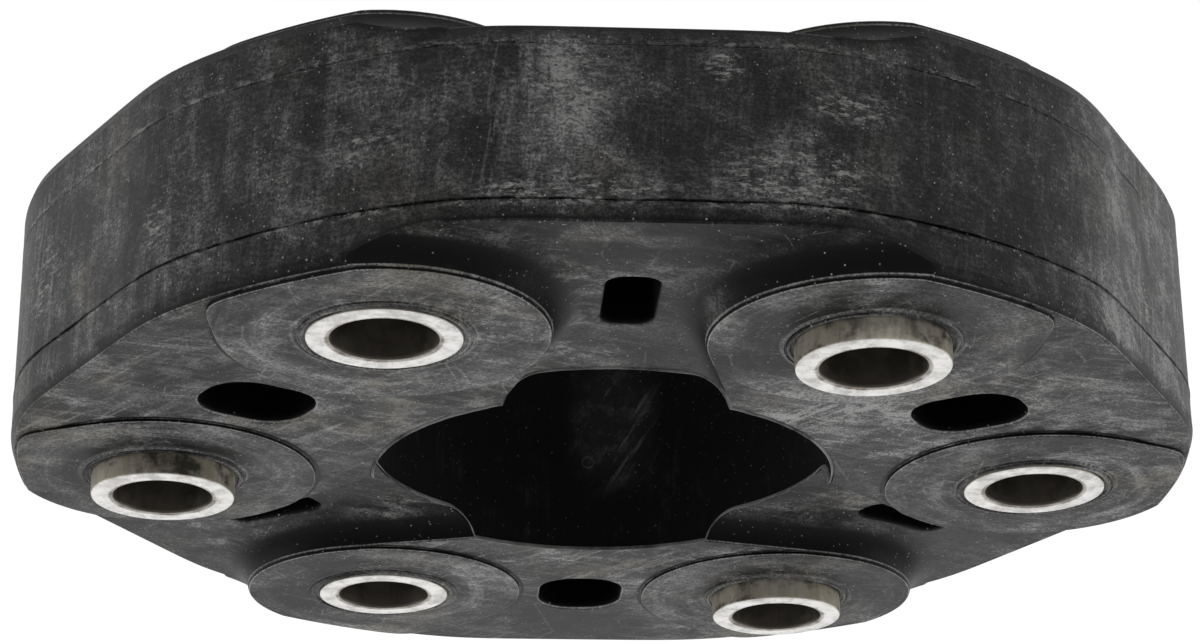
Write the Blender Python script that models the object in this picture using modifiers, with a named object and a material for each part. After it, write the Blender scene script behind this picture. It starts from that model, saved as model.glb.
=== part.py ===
"""Flexible disc coupling for a vehicle driveshaft.

A moulded rubber disc holds six steel sleeves on one bolt circle. Cord loops are wound round each
pair of neighbouring sleeves: two loops in each thick link, one in each thin web between the links.
A steel collar closes the stack of loops at both ends of every sleeve. Three sleeves stand proud of
the upper face for one shaft's flange, and the other three stand proud of the lower face.

The shaft's axis is Z and the origin is on it, at the middle of the disc. Lengths are in metres.
"""
import math

import bmesh
import bpy
from mathutils import Matrix

# Sleeves
LINK_COUNT = 3
BOLT_CIRCLE_RADIUS = 0.05546
SLEEVE_RADIUS = 0.0090
BORE_RADIUS = 0.0061
SLEEVE_CHAMFER = 0.0004
PROUD_HEIGHT = 0.0035
FLUSH_HEIGHT = 0.0010

# Cord loops and collars inside the rubber. On a sleeve they lie in this order from the middle of the
# disc to each face: web cord, rubber, link cord, collar, rubber cover.
CORD_WIDTH = 0.0057
WEB_CORD_HEIGHT = 0.0080
CORD_PARTING = 0.0016
LINK_CORD_HEIGHT = 0.0064
COLLAR_WIDTH = 0.0052
COLLAR_THICKNESS = 0.0014
COLLAR_COVER = 0.0016

# Rubber outside the cords: at the rim, at the hole through the middle, and in the bosses
RIM_WALL = 0.00334
CENTRE_WALL = 0.00363
BOSS_WALL = 0.0042

# Rim: a flat cut into the round over each web and each link, and the edge of both faces
WEB_FLAT_DEPTH = 0.0025
LINK_FLAT_DEPTH = 0.0013
EDGE_ROUND = 0.0009
EDGE_LEDGE = 0.0006
EDGE_DROP = 0.0006

# Raised round bosses about the sleeves, cut off straight along the rim, and the lips on them
BOSS_HEIGHT = 0.0005
BOSS_RIM_MARGIN = 0.0017
LIP_WIDTH = 0.0010
LIP_HEIGHT = 0.0003

# Recess over each web, on both faces
RECESS_DEPTH = 0.0036
RECESS_FILLET = 0.0045
RECESS_CORNER_OFFSET = 0.0020
RECESS_FLANK_ANGLE = 105.0

# Moulded holes through the links and the webs, between the two runs of a cord
LINK_HOLE_WIDTH = 0.0108
WEB_HOLE_WIDTH = 0.0056
HOLE_END_FLAT = 0.0016
HOLE_WALL = 0.0010
HOLE_OFFSET = 0.0015
MOUTH_FLARE = 0.0010

# Clearance between pieces that meet, and how far cutters run past what they cut
CLEARANCE = 0.0003
OVERCUT = 0.0040

# Facets
RIM_STEP_ANGLE = 5.0
SLEEVE_SEGMENTS = 28
SLEEVE_HOLE_SEGMENTS = 24
COLLAR_SEGMENTS = 16
CENTRE_SEGMENTS = 48
BOSS_STEPS = 20
RECESS_ARC_STEPS = 8
FILLET_STEPS = 3
CORNER_STEPS = 3
CORD_ARC_STEPS = 8

# Sizes that follow from those above
SLEEVE_COUNT = 2 * LINK_COUNT
SLEEVE_ANGLE = 360.0 / SLEEVE_COUNT
HALF_ANGLE = math.radians(SLEEVE_ANGLE / 2)
PAIR_REACH = BOLT_CIRCLE_RADIUS * math.cos(HALF_ANGLE)
PAIR_SPREAD = BOLT_CIRCLE_RADIUS * math.sin(HALF_ANGLE)
SLEEVE_HOLE_RADIUS = SLEEVE_RADIUS + CLEARANCE
CORD_OUTER_RADIUS = SLEEVE_HOLE_RADIUS + CORD_WIDTH
LINK_CORD_BOTTOM = WEB_CORD_HEIGHT / 2 + CORD_PARTING
LINK_CORD_TOP = LINK_CORD_BOTTOM + LINK_CORD_HEIGHT
COLLAR_BOTTOM = LINK_CORD_TOP + CLEARANCE
COLLAR_TOP = COLLAR_BOTTOM + COLLAR_THICKNESS
COLLAR_RADIUS = SLEEVE_HOLE_RADIUS + COLLAR_WIDTH
FACE_HEIGHT = COLLAR_TOP + COLLAR_COVER
WEB_HEIGHT = FACE_HEIGHT - RECESS_DEPTH
OUTER_RADIUS = BOLT_CIRCLE_RADIUS + CORD_OUTER_RADIUS + RIM_WALL
CENTRE_HOLE_RADIUS = PAIR_REACH - CORD_OUTER_RADIUS - CENTRE_WALL
BOSS_RADIUS = CORD_OUTER_RADIUS + BOSS_WALL
RECESS_ROUND = BOSS_RADIUS - CLEARANCE
RECESS_CORNER = PAIR_SPREAD - RECESS_CORNER_OFFSET
HOLE_CENTRE_RADIUS = PAIR_REACH + HOLE_OFFSET
HOLE_LENGTH = 2 * (SLEEVE_HOLE_RADIUS - CLEARANCE - HOLE_WALL - HOLE_OFFSET)


def clear_scene():
    """Remove whatever the file holds."""
    for item in list(bpy.data.objects):
        bpy.data.objects.remove(item, do_unlink=True)


def new_collection(name, parent):
    """A collection linked under its parent."""
    group = bpy.data.collections.new(name)
    parent.children.link(group)
    return group


def make_material(name, colour, roughness, metallic):
    """A Principled material in one colour."""
    finish = bpy.data.materials.new(name)
    finish.use_nodes = True
    shader = finish.node_tree.nodes["Principled BSDF"]
    shader.inputs["Base Color"].default_value = (*colour, 1.0)
    shader.inputs["Roughness"].default_value = roughness
    shader.inputs["Metallic"].default_value = metallic
    finish.diffuse_color = (*colour, 1.0)
    return finish


def turn(angle):
    """The turn about the shaft's axis by an angle in degrees."""
    return Matrix.Rotation(math.radians(angle), 4, "Z")


def place(name, mesh, group, matrix, finish=None):
    """An object for a mesh, turned and moved by a matrix."""
    piece = bpy.data.objects.new(name, mesh)
    piece.matrix_world = matrix
    group.objects.link(piece)
    if finish is not None and not mesh.materials:
        mesh.materials.append(finish)
    return piece


def arc(centre, radius, start, end, steps):
    """Points of an arc, both ends included, with its angles in degrees."""
    angles = [math.radians(start + (end - start) * step / steps) for step in range(steps + 1)]
    return [(centre[0] + radius * math.cos(a), centre[1] + radius * math.sin(a)) for a in angles]


def loft(name, sections):
    """A closed mesh skinned over outlines with the same number of points, one above the other."""
    shape = bmesh.new()
    edges = []
    rings = []
    for height, outline in sections:
        ring = [shape.verts.new((x, y, height)) for x, y in outline]
        edges += [shape.edges.new((ring[i - 1], ring[i])) for i in range(len(ring))]
        rings.append(ring)
    bmesh.ops.bridge_loops(shape, edges=edges)
    shape.faces.new(rings[0])
    shape.faces.new(rings[-1])
    bmesh.ops.recalc_face_normals(shape, faces=shape.faces)
    mesh = bpy.data.meshes.new(name)
    shape.to_mesh(mesh)
    shape.free()
    return mesh


def plate(name, outlines, thickness):
    """A flat plate about its middle plane, from a filled 2D curve: inner outlines are holes."""
    curve = bpy.data.curves.new(name + "_curve", "CURVE")
    curve.dimensions = "2D"
    curve.fill_mode = "BOTH"
    curve.extrude = thickness / 2
    for outline in outlines:
        spline = curve.splines.new("POLY")
        spline.points.add(len(outline) - 1)
        for point, (x, y) in zip(spline.points, outline):
            point.co = (x, y, 0.0, 1.0)
        spline.use_cyclic_u = True
    carrier = bpy.data.objects.new(name + "_curve", curve)
    bpy.context.scene.collection.objects.link(carrier)
    depsgraph = bpy.context.evaluated_depsgraph_get()
    mesh = bpy.data.meshes.new_from_object(carrier.evaluated_get(depsgraph))
    bpy.data.objects.remove(carrier, do_unlink=True)
    shape = bmesh.new()
    shape.from_mesh(mesh)
    bmesh.ops.remove_doubles(shape, verts=shape.verts, dist=1e-6)
    bmesh.ops.recalc_face_normals(shape, faces=shape.faces)
    shape.to_mesh(mesh)
    shape.free()
    mesh.name = name
    return mesh


def drum(name, radius, height, segments):
    """A plain cylinder about its own middle."""
    shape = bmesh.new()
    bmesh.ops.create_cone(shape, cap_ends=True, segments=segments, radius1=radius, radius2=radius,
                          depth=height)
    mesh = bpy.data.meshes.new(name)
    shape.to_mesh(mesh)
    shape.free()
    return mesh


def turned(name, profile, segments, group, matrix, finish):
    """A ring turned about its own Z axis from a closed profile that runs down its outer side."""
    mesh = bpy.data.meshes.new(name)
    count = len(profile)
    mesh.from_pydata([(x, 0.0, z) for x, z in profile], [(i, (i + 1) % count) for i in range(count)], [])
    piece = place(name, mesh, group, matrix, finish)
    screw = piece.modifiers.new("turn", "SCREW")
    screw.axis = "Z"
    screw.steps = segments
    screw.render_steps = segments
    screw.use_merge_vertices = True
    screw.merge_threshold = 1e-6
    screw.use_smooth_shade = False
    return piece


def combine(body, operation, group):
    """Add or cut everything in a collection."""
    step = body.modifiers.new(group.name, "BOOLEAN")
    step.operation = operation
    step.operand_type = "COLLECTION"
    step.collection = group
    step.solver = "EXACT"


def disc_outline(inset):
    """The rim seen from above: a round with a flat over every web and every link."""
    radius = OUTER_RADIUS - inset
    points = []
    for index in range(SLEEVE_COUNT):
        middle = SLEEVE_ANGLE * (index + 0.5)
        depths = [WEB_FLAT_DEPTH, LINK_FLAT_DEPTH]
        if index % 2 == 1:
            depths.reverse()
        half_flat, next_half = [math.degrees(math.acos(1 - depth / radius)) for depth in depths]
        steps = max(1, round((SLEEVE_ANGLE - half_flat - next_half) / RIM_STEP_ANGLE))
        points += arc((0.0, 0.0), radius, middle + half_flat, middle + SLEEVE_ANGLE - next_half, steps)
    return points


def moulded_hole_outline(width, flare):
    """A long hole with round corners, its length pointing out from the shaft, wider by a flare."""
    half_length = HOLE_LENGTH / 2 + flare
    half_width = width / 2 + flare
    corner = half_width - HOLE_END_FLAT / 2
    points = []
    for turn_angle, sign_x, sign_y in ((0, 1, 1), (90, -1, 1), (180, -1, -1), (270, 1, -1)):
        middle = (HOLE_CENTRE_RADIUS + sign_x * (half_length - corner), sign_y * (half_width - corner))
        points += arc(middle, corner, turn_angle, turn_angle + 90, CORNER_STEPS)
    return points


def cord_outline(radius):
    """The long round of a cord about two neighbouring sleeves, with X pointing out from the shaft."""
    points = arc((PAIR_REACH, PAIR_SPREAD), radius, 0, 180, CORD_ARC_STEPS)
    return points + arc((PAIR_REACH, -PAIR_SPREAD), radius, 180, 360, CORD_ARC_STEPS)


def boss_outline():
    """A round about a sleeve, cut off straight just inside the rim if it reaches so far."""
    chord = OUTER_RADIUS - BOSS_RIM_MARGIN - BOLT_CIRCLE_RADIUS
    if chord >= BOSS_RADIUS:
        return arc((BOLT_CIRCLE_RADIUS, 0.0), BOSS_RADIUS, 0, 360 - 360 / BOSS_STEPS, BOSS_STEPS - 1)
    opening = math.degrees(math.acos(chord / BOSS_RADIUS))
    return arc((BOLT_CIRCLE_RADIUS, 0.0), BOSS_RADIUS, opening, 360 - opening, BOSS_STEPS)


def recess_outline(inset):
    """The recess over a web: it runs between two bosses from the rim to the centre hole."""
    radius = RECESS_ROUND + inset
    corner = RECESS_CORNER - inset
    outer_angle = math.degrees(math.asin((corner - PAIR_SPREAD) / radius))
    side = [(OUTER_RADIUS + OVERCUT, corner)]
    side += arc((PAIR_REACH, PAIR_SPREAD), radius, outer_angle, -RECESS_FLANK_ANGLE, RECESS_ARC_STEPS)
    flank = math.radians(90 - RECESS_FLANK_ANGLE)
    last_x, last_y = side[-1]
    run = (last_x - CENTRE_HOLE_RADIUS + 2 * OVERCUT) / math.cos(flank)
    side.append((last_x - run * math.cos(flank), last_y - run * math.sin(flank)))
    return side + [(x, -y) for x, y in reversed(side)]


def make_rubber_blank(group, finish):
    """The plain disc: its rim is rounded over to a ledge a little below each face."""
    ledge = FACE_HEIGHT - EDGE_DROP
    profile = [(-FACE_HEIGHT, EDGE_ROUND / 2 + EDGE_LEDGE), (-ledge, EDGE_ROUND / 2 + EDGE_LEDGE),
               (-ledge, EDGE_ROUND / 2), (-ledge + EDGE_ROUND, 0.0)]
    profile += [(-height, inset) for height, inset in reversed(profile)]
    mesh = loft("rubber_body", [(height, disc_outline(inset)) for height, inset in profile])
    return place("rubber_body", mesh, group, Matrix.Identity(4), finish)


def add_bosses(body, group):
    """A raised boss and a lip about both ends of every sleeve."""
    boss = plate("boss", [boss_outline()], 2 * (FACE_HEIGHT + BOSS_HEIGHT))
    lip_height = 2 * (FACE_HEIGHT + BOSS_HEIGHT + LIP_HEIGHT)
    lip = drum("lip", SLEEVE_HOLE_RADIUS + LIP_WIDTH, lip_height, SLEEVE_HOLE_SEGMENTS)
    bosses = new_collection("bosses", group)
    lips = new_collection("lips", group)
    for index in range(SLEEVE_COUNT):
        spin = turn(SLEEVE_ANGLE * index)
        place(f"boss_{index + 1}", boss, bosses, spin)
        place(f"lip_{index + 1}", lip, lips, spin @ Matrix.Translation((BOLT_CIRCLE_RADIUS, 0, 0)))
    combine(body, "UNION", bosses)
    combine(body, "UNION", lips)


def cut_recesses(body, group):
    """The filleted recess over each web, on the upper and the lower face."""
    sections = []
    for step in range(FILLET_STEPS + 1):
        slope = math.radians(90 * step / FILLET_STEPS)
        rise = RECESS_FILLET * (1 - math.cos(slope))
        sections.append((WEB_HEIGHT + rise, recess_outline(RECESS_FILLET * (1 - math.sin(slope)))))
    sections.append((WEB_HEIGHT + RECESS_FILLET + OVERCUT, recess_outline(0.0)))
    mesh = loft("recess", sections)
    recesses = new_collection("recesses", group)
    for index in range(LINK_COUNT):
        spin = turn(SLEEVE_ANGLE * (2 * index + 0.5))
        place(f"recess_{index + 1}_top", mesh, recesses, spin)
        flip = Matrix.Rotation(math.pi, 4, "X")
        place(f"recess_{index + 1}_bottom", mesh, recesses, spin @ flip)
    combine(body, "DIFFERENCE", recesses)


def hole_cutter(name, width, face):
    """A cutter for a hole right through, flared at its mouth in both faces."""
    levels = [(-face - OVERCUT, MOUTH_FLARE), (-face, MOUTH_FLARE), (-face + MOUTH_FLARE, 0.0)]
    levels += [(-height, flare) for height, flare in reversed(levels)]
    return loft(name, [(height, moulded_hole_outline(width, flare)) for height, flare in levels])


def cut_moulded_holes(body, group):
    """The hole through the middle and those between the cords of the links and webs."""
    holes = new_collection("moulded_holes", group)
    depth = 2 * (FACE_HEIGHT + OVERCUT)
    place("centre_hole", drum("centre_hole", CENTRE_HOLE_RADIUS, depth, CENTRE_SEGMENTS), holes, turn(0))
    web_hole = hole_cutter("web_hole", WEB_HOLE_WIDTH, WEB_HEIGHT)
    link_hole = hole_cutter("link_hole", LINK_HOLE_WIDTH, FACE_HEIGHT)
    for index in range(LINK_COUNT):
        place(f"web_hole_{index + 1}", web_hole, holes, turn(SLEEVE_ANGLE * (2 * index + 0.5)))
        place(f"link_hole_{index + 1}", link_hole, holes, turn(SLEEVE_ANGLE * (2 * index + 1.5)))
    combine(body, "DIFFERENCE", holes)


def cut_sleeve_seats(body, group):
    """The sleeves' holes, and the rooms for their collars."""
    holes = new_collection("sleeve_holes", group)
    rooms = new_collection("collar_rooms", group)
    depth = 2 * (FACE_HEIGHT + OVERCUT)
    hole = drum("sleeve_hole", SLEEVE_HOLE_RADIUS, depth, SLEEVE_HOLE_SEGMENTS)
    room = drum("collar_room", COLLAR_RADIUS + CLEARANCE, COLLAR_THICKNESS + 2 * CLEARANCE, COLLAR_SEGMENTS)
    middle = (COLLAR_BOTTOM + COLLAR_TOP) / 2
    for index in range(SLEEVE_COUNT):
        spin = turn(SLEEVE_ANGLE * index)
        place(f"sleeve_hole_{index + 1}", hole, holes, spin @ Matrix.Translation((BOLT_CIRCLE_RADIUS, 0, 0)))
        for side, height in (("top", middle), ("bottom", -middle)):
            move = Matrix.Translation((BOLT_CIRCLE_RADIUS, 0, height))
            place(f"collar_room_{index + 1}_{side}", room, rooms, spin @ move)
    combine(body, "DIFFERENCE", holes)
    combine(body, "DIFFERENCE", rooms)


def cut_cord_rooms(body, group):
    """The rooms that the cord loops fill, a clearance larger than the cord all round."""
    rooms = new_collection("cord_rooms", group)
    outlines = [cord_outline(CORD_OUTER_RADIUS + CLEARANCE), cord_outline(SLEEVE_HOLE_RADIUS - CLEARANCE)]
    web_room = plate("web_room", outlines, WEB_CORD_HEIGHT + 2 * CLEARANCE)
    link_room = plate("link_room", outlines, LINK_CORD_HEIGHT + 2 * CLEARANCE)
    middle = LINK_CORD_BOTTOM + LINK_CORD_HEIGHT / 2
    for index in range(LINK_COUNT):
        place(f"web_room_{index + 1}", web_room, rooms, turn(SLEEVE_ANGLE * (2 * index + 0.5)))
        spin = turn(SLEEVE_ANGLE * (2 * index + 1.5))
        place(f"link_room_{index + 1}_top", link_room, rooms, spin @ Matrix.Translation((0, 0, middle)))
        place(f"link_room_{index + 1}_bottom", link_room, rooms, spin @ Matrix.Translation((0, 0, -middle)))
    combine(body, "DIFFERENCE", rooms)


def make_rubber_body(parts, cutters, finish):
    """The one rubber moulding."""
    body = make_rubber_blank(parts, finish)
    add_bosses(body, cutters)
    cut_recesses(body, cutters)
    cut_moulded_holes(body, cutters)
    cut_sleeve_seats(body, cutters)
    cut_cord_rooms(body, cutters)


def make_sleeves(parts, finish):
    """Six steel sleeves, in turn proud of the upper and of the lower face."""
    top = FACE_HEIGHT + PROUD_HEIGHT
    bottom = -FACE_HEIGHT - FLUSH_HEIGHT
    profile = [(BORE_RADIUS + SLEEVE_CHAMFER, top), (SLEEVE_RADIUS - SLEEVE_CHAMFER, top),
               (SLEEVE_RADIUS, top - SLEEVE_CHAMFER), (SLEEVE_RADIUS, bottom + SLEEVE_CHAMFER),
               (SLEEVE_RADIUS - SLEEVE_CHAMFER, bottom), (BORE_RADIUS + SLEEVE_CHAMFER, bottom),
               (BORE_RADIUS, bottom + SLEEVE_CHAMFER), (BORE_RADIUS, top - SLEEVE_CHAMFER)]
    for index in range(SLEEVE_COUNT):
        spot = turn(SLEEVE_ANGLE * index) @ Matrix.Translation((BOLT_CIRCLE_RADIUS, 0, 0))
        if index % 2 == 1:
            spot = spot @ Matrix.Rotation(math.pi, 4, "X")
        turned(f"sleeve_{index + 1}", profile, SLEEVE_SEGMENTS, parts, spot, finish)


def make_collars(parts, finish):
    """A flat steel collar at both ends of each sleeve's stack of cords."""
    profile = [(SLEEVE_HOLE_RADIUS, COLLAR_TOP), (COLLAR_RADIUS, COLLAR_TOP),
               (COLLAR_RADIUS, COLLAR_BOTTOM), (SLEEVE_HOLE_RADIUS, COLLAR_BOTTOM)]
    for index in range(SLEEVE_COUNT):
        spot = turn(SLEEVE_ANGLE * index) @ Matrix.Translation((BOLT_CIRCLE_RADIUS, 0, 0))
        turned(f"collar_{index + 1}_top", profile, COLLAR_SEGMENTS, parts, spot, finish)
        flip = Matrix.Rotation(math.pi, 4, "X")
        turned(f"collar_{index + 1}_bottom", profile, COLLAR_SEGMENTS, parts, spot @ flip, finish)


def make_cord_loops(parts, finish):
    """Two cord loops in each link and one in each web."""
    outlines = [cord_outline(CORD_OUTER_RADIUS), cord_outline(SLEEVE_HOLE_RADIUS)]
    web_cord = plate("web_cord", outlines, WEB_CORD_HEIGHT)
    link_cord = plate("link_cord", outlines, LINK_CORD_HEIGHT)
    middle = LINK_CORD_BOTTOM + LINK_CORD_HEIGHT / 2
    for index in range(LINK_COUNT):
        place(f"web_cord_{index + 1}", web_cord, parts, turn(SLEEVE_ANGLE * (2 * index + 0.5)), finish)
        spin = turn(SLEEVE_ANGLE * (2 * index + 1.5))
        place(f"link_cord_{index + 1}_top", link_cord, parts,
              spin @ Matrix.Translation((0, 0, middle)), finish)
        place(f"link_cord_{index + 1}_bottom", link_cord, parts,
              spin @ Matrix.Translation((0, 0, -middle)), finish)


def smooth_round_faces(parts):
    """Shade the turned rings smooth, with their corners kept sharp."""
    for piece in parts.objects:
        if piece.name.startswith(("sleeve", "collar")):
            piece.modifiers["turn"].use_smooth_shade = True
            piece.data.set_sharp_from_angle(angle=math.radians(30))


def hide_cutters(group):
    """Cutters only guide the Boolean steps, so they show as wires and don't render."""
    for child in group.children_recursive:
        for cutter in child.objects:
            cutter.hide_render = True
            cutter.display_type = "WIRE"


def main():
    """Build the coupling."""
    clear_scene()
    root = bpy.context.scene.collection
    parts = new_collection("driveshaft_coupler", root)
    cutters = new_collection("cutters", root)
    rubber = make_material("black_rubber", (0.045, 0.045, 0.048), 0.6, 0.0)
    steel = make_material("turned_steel", (0.60, 0.58, 0.54), 0.35, 1.0)
    plain_steel = make_material("collar_steel", (0.42, 0.42, 0.43), 0.5, 1.0)
    cord = make_material("polyester_cord", (0.72, 0.68, 0.56), 0.9, 0.0)
    make_rubber_body(parts, cutters, rubber)
    make_sleeves(parts, steel)
    make_collars(parts, plain_steel)
    make_cord_loops(parts, cord)
    smooth_round_faces(parts)
    hide_cutters(cutters)


main()
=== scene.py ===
"""Flexible rubber disc coupling for a driveshaft: its pieces, finishes and studio.

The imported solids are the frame. The rubber moulding and the six sleeves are made again here with
their soft edges, parting lines and flash. The cord loops and collars inside keep their solids and
get finishes. Lengths are in metres, the shaft's axis is Z, and the origin is at the disc's middle.
"""
import math

import bmesh
import bpy
from bpy.props import FloatProperty, FloatVectorProperty, IntProperty, PointerProperty
from mathutils import Matrix, Vector, noise


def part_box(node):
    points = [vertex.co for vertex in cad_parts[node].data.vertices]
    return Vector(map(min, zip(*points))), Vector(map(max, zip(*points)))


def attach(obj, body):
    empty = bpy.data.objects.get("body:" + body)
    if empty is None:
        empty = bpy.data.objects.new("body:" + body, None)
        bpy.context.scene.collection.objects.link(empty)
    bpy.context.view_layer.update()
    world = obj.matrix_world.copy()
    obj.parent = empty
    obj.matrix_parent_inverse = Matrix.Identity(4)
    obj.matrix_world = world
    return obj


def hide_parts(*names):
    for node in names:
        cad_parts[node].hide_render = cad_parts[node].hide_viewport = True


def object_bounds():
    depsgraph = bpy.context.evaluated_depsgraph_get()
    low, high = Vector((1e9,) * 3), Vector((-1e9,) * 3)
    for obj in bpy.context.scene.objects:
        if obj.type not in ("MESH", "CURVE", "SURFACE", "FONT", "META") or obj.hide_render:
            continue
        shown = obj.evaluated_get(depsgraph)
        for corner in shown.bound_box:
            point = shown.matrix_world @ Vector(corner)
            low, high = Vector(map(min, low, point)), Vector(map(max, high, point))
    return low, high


bl_info = {
    "name": "Flexible Disc Coupling",
    "version": (1, 0, 0),
    "blender": (4, 5, 0),
    "location": "View3D > Sidebar > Coupling",
    "description": "Makes a rubber disc coupling with steel sleeves, and a studio for it",
    "category": "Add Mesh",
}

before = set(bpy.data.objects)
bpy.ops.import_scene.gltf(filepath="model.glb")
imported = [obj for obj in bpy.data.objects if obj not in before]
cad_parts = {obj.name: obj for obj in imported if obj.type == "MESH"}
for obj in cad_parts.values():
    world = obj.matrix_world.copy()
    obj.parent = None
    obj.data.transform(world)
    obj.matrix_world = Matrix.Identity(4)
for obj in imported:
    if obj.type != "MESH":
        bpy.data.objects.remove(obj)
CAD_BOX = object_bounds()

MM = 0.001
SLEEVES = 6
PAIRS = 3
SECTOR = 60.0
BODY_BOX, SLEEVE_BOX, COLLAR_BOX, LINK_CORD_BOX, WEB_CORD_BOX = [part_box(name) for name in (
    "rubber_body", "sleeve_1", "collar_1_top", "link_cord_1_top", "web_cord_1")]

# Sizes that are read from the solids, or are written as the solids have them
BOLT_CIRCLE = (SLEEVE_BOX[0].x + SLEEVE_BOX[1].x) / 2
SLEEVE_RADIUS = (SLEEVE_BOX[1].x - SLEEVE_BOX[0].x) / 2
SLEEVE_TOP = SLEEVE_BOX[1].z
SLEEVE_BOTTOM = SLEEVE_BOX[0].z
COLLAR_OUTER = (COLLAR_BOX[1].x - COLLAR_BOX[0].x) / 2
OUTER = BODY_BOX[1].x
REACH = BOLT_CIRCLE * math.cos(math.radians(SECTOR / 2))
SPREAD = BOLT_CIRCLE * math.sin(math.radians(SECTOR / 2))
BORE_RADIUS = 6.1 * MM
CORD_INNER = 9.3 * MM
CORD_OUTER = 15.0 * MM
GAP = 0.3 * MM
FACE = 15.3 * MM
WEB = 11.7 * MM
CENTRE_HOLE = 29.4 * MM
BOSS_RADIUS = 19.2 * MM
BOSS_HEIGHT = 0.5 * MM
RECESS_ROUND = 18.9 * MM
RECESS_FILLET = 4.5 * MM
RECESS_FLANK = 105.0
HOLE_CENTRE = REACH + 1.5 * MM

# Sizes that differ a little from the solids', because the photograph gave them more closely later
WEB_FLAT = 1.8 * MM
LINK_FLAT = 1.5 * MM
BOSS_MARGIN = 0.72 * MM
BOSS_LEAN = 66.0
RECESS_END = 10.0
HOLE_LENGTH = 13.6 * MM
LINK_HOLE_WIDTH = 11.4 * MM
WEB_HOLE_WIDTH = 6.1 * MM

# Sizes that only the moulding's fine shape has
RIM_WEAR = 37.5 * MM ** 2
RIM_CURVE = 34.3
FLANK_SLOPE = 76.0
FLANK_AT_HOLE = 13.85 * MM
LOWER_CRACK = 0.3
GATE_HEIGHT = 2.7 * MM

# The moulding is cut at this enlargement, so that small features are cut cleanly
ENLARGE = Matrix.Scale(1000.0, 4)

# Dustier and cleaner parts of the rim: angle and half width in degrees, and how much more film
# The entries at -142 and -157 degrees are a painted sheen band where the rim turns away at the right.
RIM_DUST_AND_SHEEN = ((-84.0, 6.0, 0.20), (-121.0, 16.0, -0.10), (-142.0, 9.0, 0.50), (-157.0, 10.0, 0.30),
            (-30.0, 12.0, 0.10), (-60.0, 9.0, -0.04))
# Scraped parts of the rim: angle and half width in degrees, and strength
RIM_SCRAPES = ((-20.0, 9.0, 1.0), (-150.0, 14.0, 0.8), (-78.0, 10.0, 0.4))
# Scuffs on the rim: angle, height, half width in degrees, half height in millimetres, and strength
RIM_SCUFFS = (
    (-103.0, 6.0, 8.0, 4.5, 0.8), (-84.0, 8.0, 13.0, 2.2, 0.6), (-97.0, -7.0, 2.2, 2.4, 1.0),
    (-84.0, -4.0, 5.0, 9.0, 0.3), (-43.0, 4.0, 2.2, 4.5, 0.5), (-149.0, 5.0, 4.0, 5.0, 0.5),
    (-20.0, 0.0, 6.0, 9.0, 0.35), (-108.0, -3.0, 6.0, 3.0, 0.5), (-66.0, 1.0, 6.0, 4.0, 0.3))
# Wiped patches on the upper face: x, y, half width and half depth in millimetres, and strength
FACE_PATCHES = (
    (4.5, -68.7, 5.5, 3.2, 1.0), (-2.5, -66.5, 5.0, 2.4, 0.6), (1.7, -35.4, 2.4, 2.2, 0.7),
    (-10.7, -52.2, 3.4, 7.5, 0.5), (-42.0, -38.8, 5.0, 5.0, 0.5), (-61.0, -5.0, 3.2, 8.0, 0.6),
    (14.3, -53.2, 4.5, 9.0, 0.4), (-58.5, -29.3, 6.0, 8.0, 0.5), (-50.0, -30.0, 3.0, 6.0, 0.4),
    (51.1, 38.5, 2.4, 1.8, 0.8), (53.5, 31.5, 1.6, 1.6, 0.6), (42.2, -44.1, 4.0, 5.0, 0.35),
    (62.5, -14.5, 5.0, 6.0, 0.35), (-35.6, -20.7, 5.0, 4.0, 0.35))

# The camera that was fitted to the photograph: rise, swing and roll in degrees, place back, right and
# up from the face's middle in metres, and lens in millimetres
CAMERA_ANGLES = (22.282, 3.851, -0.491)
CAMERA_PLACE = (0.403906, 0.0003, -0.019814)
CAMERA_LENS = 95.209


def length(name, description, default, **limits):
    """A setting in metres."""
    return FloatProperty(name=name, description=description, default=default, unit="LENGTH", **limits)


def tint(name, description, default):
    """A setting for a colour."""
    return FloatVectorProperty(name=name, description=description, default=default, subtype="COLOR",
                               size=3, min=0.0, max=1.0)


def watts(name, description, default):
    """A setting for a lamp's strength."""
    return FloatProperty(name=name, description=description, default=default, subtype="POWER")


class CouplingShape(bpy.types.PropertyGroup):
    """Sizes of the moulding's and the sleeves' fine shape."""

    rim_step: length("Rim step", "Length of one facet along the rim", 1.0 * MM, min=0.5 * MM)
    rim_swell: length("Rim swell", "How far the moulded rim stands outside the solid's", 0.4 * MM)
    bevel_height: length("Bevel height", "Height of the steep bevel between the rim and a face", 1.5 * MM)
    bevel_width: length("Bevel width", "How far the steep bevel leans in", 0.42 * MM)
    edge_round: length("Edge rounding", "Radius between the bevel and a face", 0.22 * MM)
    parting_height: length("Parting height", "Height of the parting lines from the middle", 9.3 * MM)
    parting_depth: length("Parting depth", "Depth of the crack along the upper parting line", 0.7 * MM)
    parting_width: length("Parting width", "Width of the crack along a parting line", 0.5 * MM)
    boss_round: length("Boss rounding", "Rounding of the bosses' upper edges", 0.3 * MM)
    mouth_round: length("Mouth rounding", "Rounding of the moulded holes' mouths", 0.6 * MM)
    lip_height: length("Lip height", "Height of the sealing lip round each sleeve", 0.4 * MM)
    lip_width: length("Lip width", "Width of the sealing lip round each sleeve", 1.25 * MM)
    flash_height: length("Flash height", "Height of the thin flash round the centre hole", 0.15 * MM)
    sleeve_chamfer: length("Sleeve chamfer", "Chamfer on the outer corners of a sleeve", 0.35 * MM)
    bore_chamfer: length("Bore chamfer", "Chamfer at both ends of a sleeve's bore", 0.5 * MM)
    sleeve_facets: IntProperty(
        name="Sleeve facets", description="Facets round a sleeve", default=128, min=32)


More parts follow.
